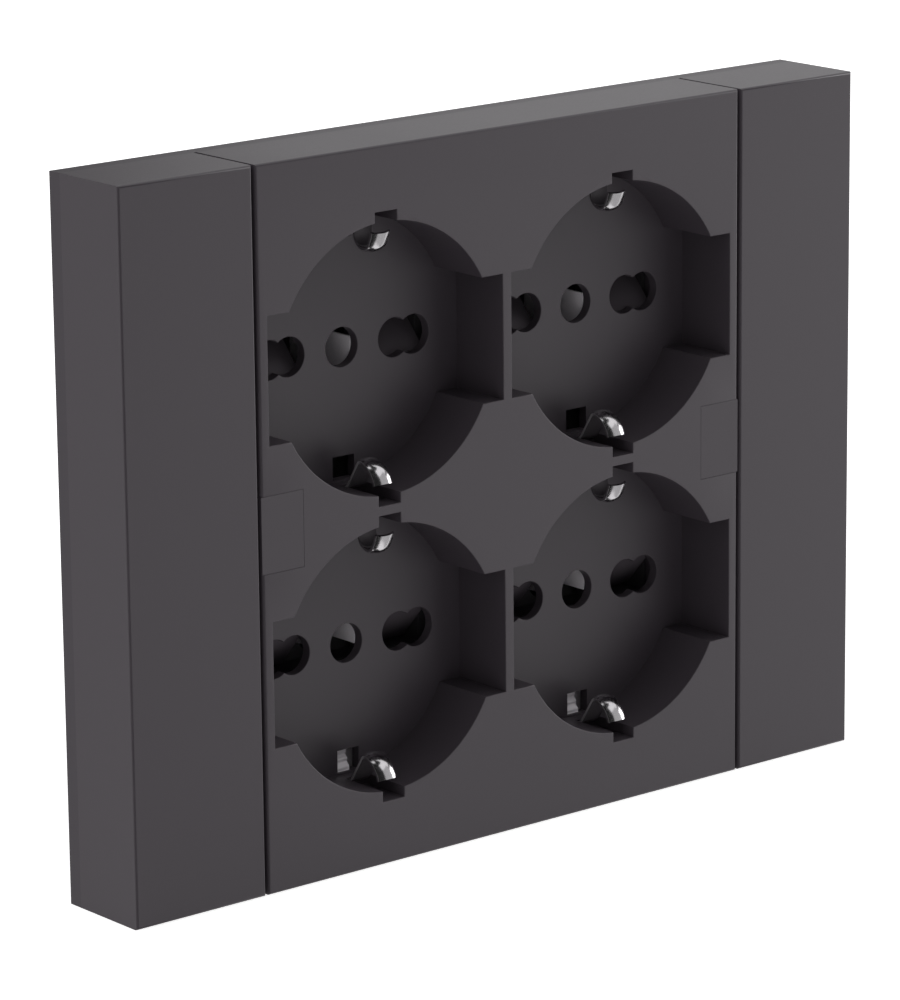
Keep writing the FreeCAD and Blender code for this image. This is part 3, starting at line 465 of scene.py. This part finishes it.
# Earth clips.
# Each is one strip of bright nickelled spring steel, slightly crowned across its width. It rises out of a
# slit in the notch, bends over a crest that presses on the plug, and curls back towards the plate's face. The
# strip at the top of a socket is bent more steeply than the one at the bottom.
CLIP_HALF, CLIP_SHEET, CLIP_CROWN, CLIP_EDGE = 1.65, 0.4, 0.4, 0.08
CLIP_SHAPES = {
    "top": dict(tip=1.15, nose=14.0, lead=64, front=1.45, peak=3.2, crest=15.1, back=2.2, slope=85, root=1.6),
    "bottom": dict(tip=1.4, nose=4.2, lead=15, front=0.9, peak=4.6, crest=15.27, back=0.9, slope=57, root=2),
}
LEG_REACH, LEG_Y, FOOT_Y = 19.75, -7.0, -1.6
FOOT_OUT, FOOT_IN = 1.8, 3.2
FOOT_CORNER = 0.35
CROWN_FADE = 3.0
ACROSS_STEPS = 19
CLIP_SMOOTH = math.radians(50)


def clip_line(shape, foot):
    """The strip's face as (y, reach): nose arc, two crest arcs, straight flank, wall arc, leg and foot."""

    def arc(centre, radius, start, end, count):
        angle = np.linspace(start, end, count)
        return centre + radius * np.stack([np.sin(angle), -np.cos(angle)], 1)

    lead, slope = math.radians(shape["lead"]), math.radians(shape["slope"])
    peak = np.array([FACE_Y + shape["peak"], shape["crest"]])
    front, behind = peak + (0, shape["front"]), peak + (0, shape["back"])
    nose = front + (shape["nose"] - shape["front"]) * np.array([math.sin(lead), math.cos(lead)])
    tip = math.asin((nose[0] - FACE_Y - shape["tip"]) / shape["nose"])
    nose_arc = arc(nose, shape["nose"], -tip, -lead, 12)
    crest_arc = np.concatenate(
        [arc(front, shape["front"], -lead, 0, 8)[1:], arc(behind, shape["back"], 0, slope, 10)[1:]]
    )
    last = crest_arc[-1]
    drop = LEG_REACH - shape["root"] * (1 - math.cos(slope)) - last[1]
    flank = last + np.array([drop / math.tan(slope), drop])
    middle = flank + shape["root"] * np.array([math.sin(slope), -math.cos(slope)])
    wall_arc = arc(middle, -shape["root"], slope, 0, 8)
    toward = 1 if foot > 0 else -1
    corner = np.linspace(0, math.pi / 2, 5)
    heel = np.array([FOOT_Y - FOOT_CORNER, LEG_REACH + toward * FOOT_CORNER])
    heel_arc = heel + FOOT_CORNER * np.stack([np.sin(corner), -toward * np.cos(corner)], 1)
    line = np.concatenate([nose_arc, crest_arc, wall_arc, heel_arc, [[FOOT_Y, LEG_REACH + foot]]])
    along = np.gradient(line, axis=0)
    along /= np.linalg.norm(along, axis=1)[:, None]
    return line, np.stack([along[:, 1], -along[:, 0]], 1)


def clip_surface(centre, side, shape, foot):
    """A section carried along the strip's line and closed at both ends, crowned at the crest alone."""
    line, outward = clip_line(shape, foot)
    flat_x = np.linspace(-1, 1, ACROSS_STEPS)[1:-1] * (CLIP_HALF - CLIP_EDGE)
    inset, depth = quarter(CLIP_EDGE, 4).T
    edge_x = np.append(CLIP_HALF - inset, (CLIP_HALF - inset)[::-1])
    edge_height = np.append(-depth, depth[::-1] - CLIP_SHEET)
    section = np.concatenate([flat_x, edge_x, flat_x[::-1], -edge_x[::-1]])
    height = np.concatenate([0 * flat_x, edge_height, 0 * flat_x - CLIP_SHEET, edge_height[::-1]])
    crown = CLIP_CROWN * np.clip((LEG_Y - line[:, 0]) / CROWN_FADE, 0, 1)
    raised = height + crown[:, None] * (1 - (section / CLIP_HALF) ** 2)
    y = line[:, :1] + raised * outward[:, :1]
    z = centre[1] + side * (line[:, 1:] + raised * outward[:, 1:])
    points, faces = loft(list(np.stack([np.broadcast_to(centre[0] + section, y.shape), y, z], -1)))
    size = len(section)
    first, final = list(range(size)), list(range(len(points) - size, len(points)))
    return points, faces + [first, final]


STREAK_SCALE, STREAK_RELIEF, MOTTLE_SCALE = 900.0, 0.000002, 120.0
STREAK_SHARE, STREAK_SHINE, MOTTLE_SHINE = 0.6, 0.08, 0.06
PALER, DARKER = 1.06, 0.86
# Painted light and shade on the clips: the side edges in front of the crest and the strip's inner face take
# the painted shade colour; behind the crest the lower clips' edges take a pale painted light line, the upper
# clips' painted shade.
PAINTED_EDGE_FACING, PAINTED_EDGE_DEPTHS = (0.5, 0.75), (-0.0112, -0.0104)
PAINTED_INNER_FACING, PAINTED_INNER_DEPTHS = (-0.3, -0.6), (-0.0118, -0.0110)
SHADED_COLOUR = (0.10, 0.089, 0.10)
PAINTED_EDGE_COLOURS = {"top": SHADED_COLOUR, "bottom": (0.40, 0.38, 0.40)}
PAINTED_SHADE_ROUGHER, PAINTED_SHADE_DULL = 0.35, 0.8


def metal(name, colour, roughness, stretch=(1, 1, 1), dull=0.0, edge_paint=None):
    """Rolled or plated metal: fine streaks along the rolling direction, mottles in the shine and a dull film.

    With a colour painted on the side edges, they have it behind the crest. In front of the crest they carry
    painted shade, and so does the strip's inner face; these painted parts are also duller and rougher.
    """
    finish = Finish(name)
    streaks = finish.noise(STREAK_SCALE, 3.0, stretch)
    mottles = finish.noise(MOTTLE_SCALE)
    pale = tuple(min(1.0, c * PALER) for c in colour)
    dark = tuple(c * DARKER for c in colour)
    tone = finish.blend(streaks * STREAK_SHARE + mottles * (1 - STREAK_SHARE), dark, pale)
    shine = streaks * STREAK_SHINE + mottles * MOTTLE_SHINE + roughness
    # Painted shade on the side edges in front of the crest and on the inner face, made duller and rougher
    # there; the edges behind the crest take the painted edge colour, light or shade.
    if edge_paint:
        normal = finish.add("ShaderNodeTexCoord", {}, {}, "Normal")
        sideways, toward = (finish.add("ShaderNodeSeparateXYZ", {}, {0: normal}, axis) for axis in (0, 1))
        depth = finish.add("ShaderNodeSeparateXYZ", {}, {0: finish.place}, 1)
        edge = finish.ramp(abs(sideways), *PAINTED_EDGE_FACING)
        painted_inner_shade = finish.ramp(toward, *PAINTED_INNER_FACING) * finish.ramp(depth, *PAINTED_INNER_DEPTHS)
        painted_edge_tone = finish.blend(finish.ramp(depth, *PAINTED_EDGE_DEPTHS), SHADED_COLOUR, edge_paint)
        tone = finish.blend(edge, finish.blend(painted_inner_shade, tone, SHADED_COLOUR), painted_edge_tone)
        shine = shine + (edge + painted_inner_shade) * PAINTED_SHADE_ROUGHER
        dull = (edge + painted_inner_shade) * PAINTED_SHADE_DULL
    finish.surface(Base_Color=tone, Metallic=1.0 - dull, Roughness=shine)
    finish.bump(streaks, STREAK_RELIEF)
    return finish.material


# Two copies of the clip steel that differ only in painted light: a pale painted line on the lower clips'
# edges behind the crest, painted shade on the upper clips' edges.
clip_finishes = {
    end: metal("clip_steel", (0.66, 0.64, 0.66), 0.10, stretch=(4, 0.4, 0.4), edge_paint=colour)
    for end, colour in PAINTED_EDGE_COLOURS.items()
}
for name, centre in SOCKETS.items():
    for end, side in (("top", 1), ("bottom", -1)):
        foot = FOOT_OUT if side * centre[1] < 0 else -FOOT_IN
        clip = solid(
            f"clip_{name}_{end}",
            [clip_surface(centre, side, CLIP_SHAPES[end], foot)],
            "housing",
            [f"earth_clip_{name}_{end}"],
            smooth=CLIP_SMOOTH,
        )
        clip.data.materials.append(clip_finishes[end])

# Mounting frame, carrier, cover and the metal inside.
# These solids have the right shape as they come, so they keep it and get their own finish.
# The plastics are darker and rougher than the plate; contacts are stamped brass, earthing parts plated steel.
frame_plastic = moulded("frame_plastic", (0.048, 0.040, 0.049), 0.50)
carrier_plastic = moulded("carrier_plastic", (0.028, 0.026, 0.029), 0.65, grain=1800.0)
shutter_plastic = moulded("shutter_plastic", (0.075, 0.064, 0.075), 0.6)
insulator_plastic = moulded("insulator_plastic", (0.55, 0.50, 0.40), 0.6)
earth_steel = metal("earth_steel", (0.90, 0.86, 0.90), 0.50, stretch=(0.3, 3, 3), dull=0.9)
spring_steel = metal("spring_steel", (0.55, 0.55, 0.55), 0.25)
screw_steel = metal("screw_steel", (0.62, 0.62, 0.60), 0.24)
contact_brass = metal("contact_brass", (0.72, 0.55, 0.28), 0.22, stretch=(3, 3, 0.4))
FINISHES = {
    "plate_plastic": plate_plastic,
    "frame_plastic": frame_plastic,
    "carrier_plastic": carrier_plastic,
    "shutter_plastic": shutter_plastic,
    "insulator_plastic": insulator_plastic,
    "clip_steel": clip_finishes["bottom"],
    "earth_steel": earth_steel,
    "spring_steel": spring_steel,
    "screw_steel": screw_steel,
    "contact_brass": contact_brass,
}
for part in frame["record"]["subparts"]:
    node = nodes[part["node"]]
    node.data.materials.clear()
    node.data.materials.append(FINISHES[part["material_slot"]])

# Contact pads.
# Two small pads of the same plated steel, pressed into ribs, stand on the earth plate and show in the lower
# windows of the lower sockets.
PAD_SIDES, PAD_HEIGHT, PAD_FRONT, PAD_TILT, PAD_CURVE = (-1.85, 0.5), 3.3, -4.15, 0.3, 0.1
PAD_RIBS, PAD_RELIEF, PAD_STEPS = 3, 0.13, 61


def pad_surface(centre):
    """A block whose front is front + tilt * z - curve * z^2 - relief * cos(2 pi * ribs * z / height)."""
    up = np.linspace(-0.5, 0.5, PAD_STEPS) * PAD_HEIGHT
    ribs = PAD_RELIEF * np.cos(2 * math.pi * PAD_RIBS * up / PAD_HEIGHT)
    front = PAD_FRONT + PAD_TILT * up - PAD_CURVE * up**2 - ribs
    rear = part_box("earth_plate")[0].y / MM
    outline_y, outline_z = np.append(front, (rear, rear)), np.append(up, (up[-1], up[0]))
    z = centre[1] - (WINDOW[1] + WINDOW[2]) / 2 + outline_z
    points, faces = loft([np.column_stack([np.full(len(z), centre[0] + x), outline_y, z]) for x in PAD_SIDES])
    return points, faces + [list(range(len(z))), list(range(len(z), 2 * len(z)))]


for name in ("lower_left", "lower_right"):
    pad = solid(f"contact_pad_{name}", [pad_surface(SOCKETS[name])], "housing", [])
    pad.data.materials.append(earth_steel)

# Shutter springs.
# A coil of drawn wire at each shutter, its end turns laid close, pushes the shutter back over the pin holes.
# In the real socket each flattens towards its fixed end, the one nearer the middle of the plate, as its
# shutter opens; here the coil is static.
SPRING_WIRE, SPRING_TURNS, CLOSE_TURN = 0.35, 5, 0.42
SPRING_STEPS, WIRE_SIDES = 30, 10


def spring_surface(middle_x, middle_y, low_z, high_z, radius):
    """A round section carried along a helix whose first and last turns climb by little more than the wire."""
    turned = np.linspace(0, SPRING_TURNS, SPRING_TURNS * SPRING_STEPS + 1)
    first, last = low_z + SPRING_WIRE / 2, high_z - SPRING_WIRE / 2
    heights = (first, first + CLOSE_TURN, last - CLOSE_TURN, last)
    climb = np.interp(turned, (0, 1, SPRING_TURNS - 1, SPRING_TURNS), heights)
    angle = 2 * math.pi * turned
    outward = np.stack([np.cos(angle), np.sin(angle), 0 * angle], 1)
    line = (middle_x, middle_y, 0) + radius * outward + climb[:, None] * (0, 0, 1)
    along = np.gradient(line, axis=0)
    along /= np.linalg.norm(along, axis=1)[:, None]
    upward = np.cross(along, outward)
    section = circle(SPRING_WIRE / 2, WIRE_SIDES)
    points, faces = loft([place + section @ np.stack(axes) for place, *axes in zip(line, outward, upward)])
    first_end, last_end = list(range(WIRE_SIDES)), list(range(len(points) - WIRE_SIDES, len(points)))
    return points, faces + [first_end, last_end]


for name in SOCKETS:
    low, high = (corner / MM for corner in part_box(f"shutter_spring_{name}"))
    middle = (low + high) / 2
    surface = spring_surface(middle.x, middle.y, low.z, high.z, (high.x - low.x - SPRING_WIRE) / 2)
    spring = solid(f"spring_{name}", [surface], "housing", [f"shutter_spring_{name}"])
    spring.data.materials.append(spring_steel)
    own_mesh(spring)

# Floor, cards and light.
# The plate stands on white paper under an even white sky, which the dark plastic and the clips reflect.
# Cards that the camera doesn't see keep the photographer's side dim. Some of them show in gloss alone, and so
# that the low ones show, gloss sees the white sky in place of the paper.
FLOOR_HALF, FLOOR_GLOW, FLOOR_WHITE = 4.0, 0.30, 0.70
CARD_REACH, GLOSS_REACH, CARD_STEPS = 0.80, 0.78, (25, 13)
GREY_LEVEL, LEFT_LEVEL, BAND_LEVEL = 0.5, 0.4, 0.25

floor_mesh = bpy.data.meshes.new("floor")
floor_mesh.from_pydata(ring(rectangle(-1, -1, 1, 1), 0)[:, (0, 2, 1)] * FLOOR_HALF, [], [(0, 1, 2, 3)])
floor = bpy.data.objects.new("floor", floor_mesh)
floor.location.z = cad_box[0].z
floor.visible_glossy = False
bpy.context.scene.collection.objects.link(floor)
paper = Finish("paper")
rays = ("Is Camera Ray", "Is Glossy Ray", "Is Transmission Ray")
seen = sum(paper.add("ShaderNodeLightPath", {}, {}, ray) for ray in rays)
paper.surface(
    Base_Color=(0.8, 0.8, 0.8),
    Roughness=0.9,
    Specular_IOR_Level=0.0,
    Emission_Color=paper.blend(seen, (FLOOR_GLOW,) * 3, (FLOOR_WHITE,) * 3),
    Emission_Strength=1.0,
)
floor_mesh.materials.append(paper.material)

black_card = Finish("black_card")
black_card.surface(Base_Color=(0.02, 0.02, 0.02), Roughness=0.9, Specular_IOR_Level=0.1)
grey_card, left_grey, dim_card = Finish("grey_card"), Finish("left_grey"), Finish("dim_card")
for finish, grey in ((grey_card, GREY_LEVEL), (left_grey, LEFT_LEVEL), (dim_card, BAND_LEVEL)):
    finish.surface(Base_Color=(0.0, 0.0, 0.0), Specular_IOR_Level=0.0)
    finish.surface(Emission_Color=(grey, grey, grey), Emission_Strength=1.0)


def card(name, finish, azimuths, elevations, gloss_alone=False):
    """A card round the plate, part of a sphere: reach * (sin a cos e, -cos a cos e, sin e)."""
    reach = GLOSS_REACH if gloss_alone else CARD_REACH
    across, up = CARD_STEPS
    a, e = np.meshgrid(np.radians(np.linspace(*azimuths, across)), np.radians(np.linspace(*elevations, up)))
    points = reach * np.stack([np.sin(a) * np.cos(e), -np.cos(a) * np.cos(e), np.sin(e)], -1)
    place = np.arange(a.size).reshape(a.shape)
    faces = np.stack([place[:-1, :-1], place[:-1, 1:], place[1:, 1:], place[1:, :-1]], -1)
    mesh = bpy.data.meshes.new(name)
    mesh.from_pydata(points.reshape(-1, 3).tolist(), [], faces.reshape(-1, 4).tolist())
    mesh.materials.append(finish.material)
    made = bpy.data.objects.new(name, mesh)
    made.visible_camera = False
    made.visible_diffuse = made.visible_shadow = not gloss_alone
    bpy.context.scene.collection.objects.link(made)


card("front_card", black_card, (-14, 16), (-3, 47))
card("left_card", left_grey, (-85, -14), (-3, 49))
card("right_card", grey_card, (16, 62), (3, 40))
card("band_card", dim_card, (62, 100), (24, 31))
card("front_gloss_card", black_card, (-85, 17), (-75, 75), gloss_alone=True)
card("high_gloss_card", black_card, (17, 62), (60, 88), gloss_alone=True)
card("low_gloss_card", grey_card, (17, 78), (-49, -26), gloss_alone=True)
card("under_gloss_card", black_card, (17, 100), (-88, -66), gloss_alone=True)
card("back_gloss_card", black_card, (147, 218), (-35, 70), gloss_alone=True)

bpy.context.scene.world = bpy.data.worlds.new("sky")
bpy.context.scene.world.use_nodes = True
bpy.context.scene.world.node_tree.nodes["Background"].inputs["Color"].default_value = (1, 1, 1, 1)


def softbox(name, azimuth, elevation, distance, width, height, watts):
    """A rectangular area light that faces the middle of the plate."""
    lamp = bpy.data.lights.new(name, "AREA")
    lamp.shape = "RECTANGLE"
    lamp.size, lamp.size_y, lamp.energy = width, height, watts
    a, e = math.radians(azimuth), math.radians(elevation)
    away = Vector((math.sin(a) * math.cos(e), -math.cos(a) * math.cos(e), math.sin(e)))
    made = bpy.data.objects.new(name, lamp)
    made.location = away * distance
    made.rotation_euler = away.to_track_quat("Z", "Y").to_euler()
    bpy.context.scene.collection.objects.link(made)


softbox("key", 80, 8, 0.75, 0.4, 0.3, 1.5)
